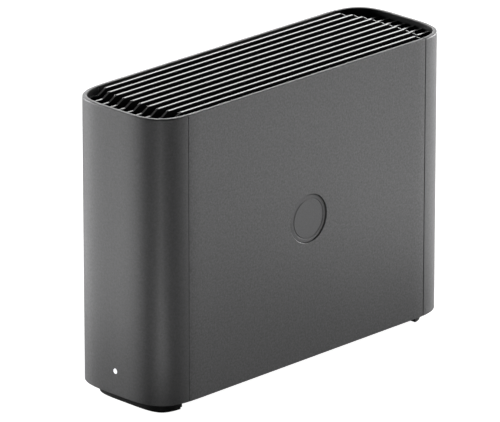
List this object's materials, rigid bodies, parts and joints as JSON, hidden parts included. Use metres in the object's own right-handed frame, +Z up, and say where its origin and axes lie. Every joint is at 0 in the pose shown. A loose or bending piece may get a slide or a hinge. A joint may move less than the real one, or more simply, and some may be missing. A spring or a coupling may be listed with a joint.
{
  "type": "desktop firewall appliance",
  "caption": "Slim upright network firewall box: rounded front and rear covers, flat textured sides, a finned top grille and low feet.",
  "frame": {"origin": "on the surface it stands on, under the middle of the case", "axes": "+Z up, +Y to the rear along the case's depth, +X to the right side seen from the front"},
  "size_m": [0.0626, 0.1962, 0.148],
  "materials": {
    "cover_finish": "fine satin powder coat",
    "panel_finish": "coarser matte powder coat",
    "badge_finish": "fine matte",
    "grille_finish": "satin moulded fins",
    "black_plastic": "fine moulded grain",
    "rubber_pad": "matte",
    "screw_steel": "zinc plated",
    "sheet_steel": "plated sheet",
    "board_green": "solder mask",
    "brass": "plated",
    "chip_black": "moulded package",
    "thermal_pad": "soft matte",
    "sink_aluminium": "extruded and anodised",
    "white_plastic": "moulded",
    "light_pipe": "milky clear",
    "fan_coil": "enamelled copper wire",
    "lead_sleeve": "sleeved wires"
  },
  "bodies": {
    "root": {"front_cover": "cover_finish", "rear_cover": "cover_finish", "left_side_panel": "panel_finish", "right_side_panel": "panel_finish", "side_badge": "badge_finish", "top_grille": "grille_finish", "base_plate": "black_plastic", "front_foot": "black_plastic", "rear_foot": "black_plastic", "io_plate": "black_plastic", "fan_frame": "black_plastic", "memory_socket": "black_plastic", "ssd_socket": "black_plastic", "coin_cell_holder": "black_plastic", "button_switches": "black_plastic", "power_jack": "black_plastic", "ethernet_jack_1": "black_plastic", "ethernet_jack_2": "black_plastic", "ethernet_jack_3": "black_plastic", "ethernet_jack_4": "black_plastic", "front_foot_pad": "rubber_pad", "rear_foot_pad": "rubber_pad", "case_screws": "screw_steel", "chassis_screws": "screw_steel", "io_plate_screws": "screw_steel", "board_screws": "screw_steel", "heat_sink_screws": "screw_steel", "button_board_screws": "screw_steel", "fan_screws": "screw_steel", "chassis_frame": "sheet_steel", "lock_plate": "sheet_steel", "ethernet_shields": "sheet_steel", "usb_jack": "sheet_steel", "power_jack_pin": "sheet_steel", "coin_cell": "sheet_steel", "button_board_posts": "sheet_steel", "main_board": "board_green", "memory_module": "board_green", "ssd_module": "board_green", "button_board": "board_green", "led_board": "board_green", "board_standoffs": "brass", "ssd_screw": "brass", "ethernet_contacts": "brass", "processor": "chip_black", "network_chips": "chip_black", "inductors": "chip_black", "capacitors": "chip_black", "thermal_pad": "thermal_pad", "heat_sink": "sink_aluminium", "board_headers": "white_plastic", "usb_tongues": "white_plastic", "status_led": "white_plastic", "light_pipe": "light_pipe", "fan_stator": "fan_coil", "board_leads": "lead_sleeve"},
    "fan_rotor": {"fan_rotor": "black_plastic"},
    "power_button": {"power_button": "black_plastic"},
    "reset_button": {"reset_button": "white_plastic"}
  },
  "joints": [
    {"name": "fan_spin", "type": "hinge", "parent": "root", "child": "fan_rotor", "pos_m": [0.003, 0.01, 0.018], "axis": [0, 0, 1], "continuous": true},
    {"name": "power_button_press", "type": "slide", "parent": "root", "child": "power_button", "axis": [0, -1, 0], "range_m": [0, 0.0008], "stiffness_N_per_m": 800, "springref_m": -0.0012},
    {"name": "reset_button_press", "type": "slide", "parent": "root", "child": "reset_button", "axis": [0, -1, 0], "range_m": [0, 0.0005], "stiffness_N_per_m": 800, "springref_m": -0.0012}
  ]
}
